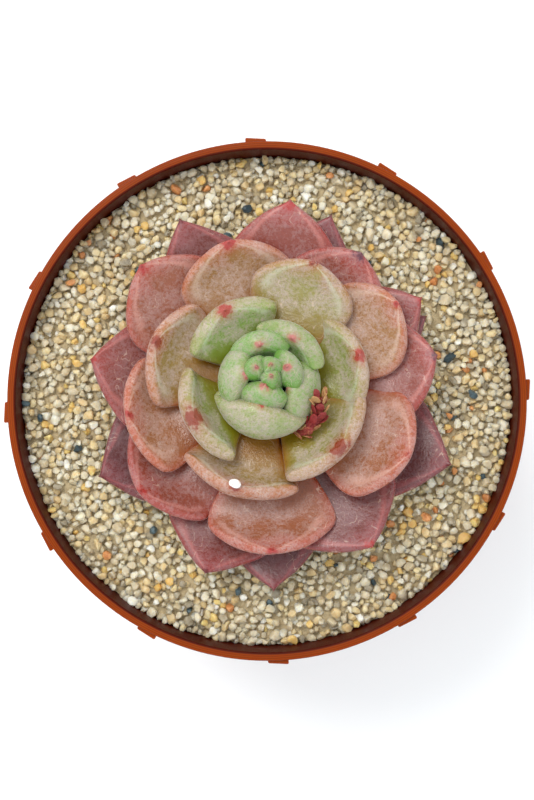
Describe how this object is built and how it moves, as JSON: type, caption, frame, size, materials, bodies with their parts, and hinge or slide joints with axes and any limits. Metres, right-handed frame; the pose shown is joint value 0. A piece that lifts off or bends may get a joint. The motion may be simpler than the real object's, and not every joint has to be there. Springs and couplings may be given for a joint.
{
  "type": "potted succulent",
  "caption": "Fleshy rosette succulent on a short leaning stem, in a tapered plastic nursery pot with a collared rim, drainage holes and a top-dressing of loose quartz grit.",
  "frame": {"origin": "centre of the pot's foot, on the surface that the pot stands on", "axes": "+Z up along the pot's axis; +Y is the side that the rosette's stem leans to; +X to the right seen from above with +Y up"},
  "size_m": [0.107, 0.107, 0.1086],
  "materials": {
    "pot_plastic": "thin injection-moulded plastic, terracotta orange-brown, fine turned mould lines on the lip, light passes through its edge",
    "potting_mix": "dark damp peat and bark crumbs",
    "quartz_grit": "translucent sub-rounded quartz grains, grey, cream, honey and amber",
    "stem_bark": "dull corky stem with leaf scars",
    "withered_stalk": "dry, wrinkled, red to tan",
    "leaf_green": "fleshy, pale green with a powdery bloom and pink tips",
    "leaf_blush": "fleshy, olive at the foot, grey-pink bloom and orange-red towards the edge",
    "leaf_rose": "fleshy, dusty rose with red edges and a powdery bloom"
  },
  "bodies": {
    "root": {"pot": "pot_plastic", "soil": "potting_mix", "grit_dressing": "quartz_grit", "stem": "stem_bark", "flower_stalk": "withered_stalk", "leaf_01": "leaf_green", "leaf_02": "leaf_green", "leaf_03": "leaf_green", "leaf_04": "leaf_green", "leaf_05": "leaf_green", "leaf_06": "leaf_green", "leaf_07": "leaf_green", "leaf_08": "leaf_green", "leaf_09": "leaf_green", "leaf_10": "leaf_green", "leaf_11": "leaf_green", "leaf_12": "leaf_blush", "leaf_13": "leaf_blush", "leaf_14": "leaf_blush", "leaf_15": "leaf_blush", "leaf_16": "leaf_blush", "leaf_17": "leaf_blush", "leaf_18": "leaf_blush", "leaf_19": "leaf_blush", "leaf_20": "leaf_blush", "leaf_21": "leaf_blush", "leaf_22": "leaf_rose", "leaf_23": "leaf_rose", "leaf_24": "leaf_rose", "leaf_25": "leaf_rose", "leaf_26": "leaf_rose", "leaf_27": "leaf_rose", "leaf_28": "leaf_rose", "leaf_29": "leaf_rose", "leaf_30": "leaf_rose", "leaf_31": "leaf_rose", "leaf_32": "leaf_rose", "leaf_33": "leaf_rose", "leaf_34": "leaf_rose", "leaf_35": "leaf_rose", "leaf_36": "leaf_rose", "leaf_37": "leaf_rose"}
  },
  "joints": []
}
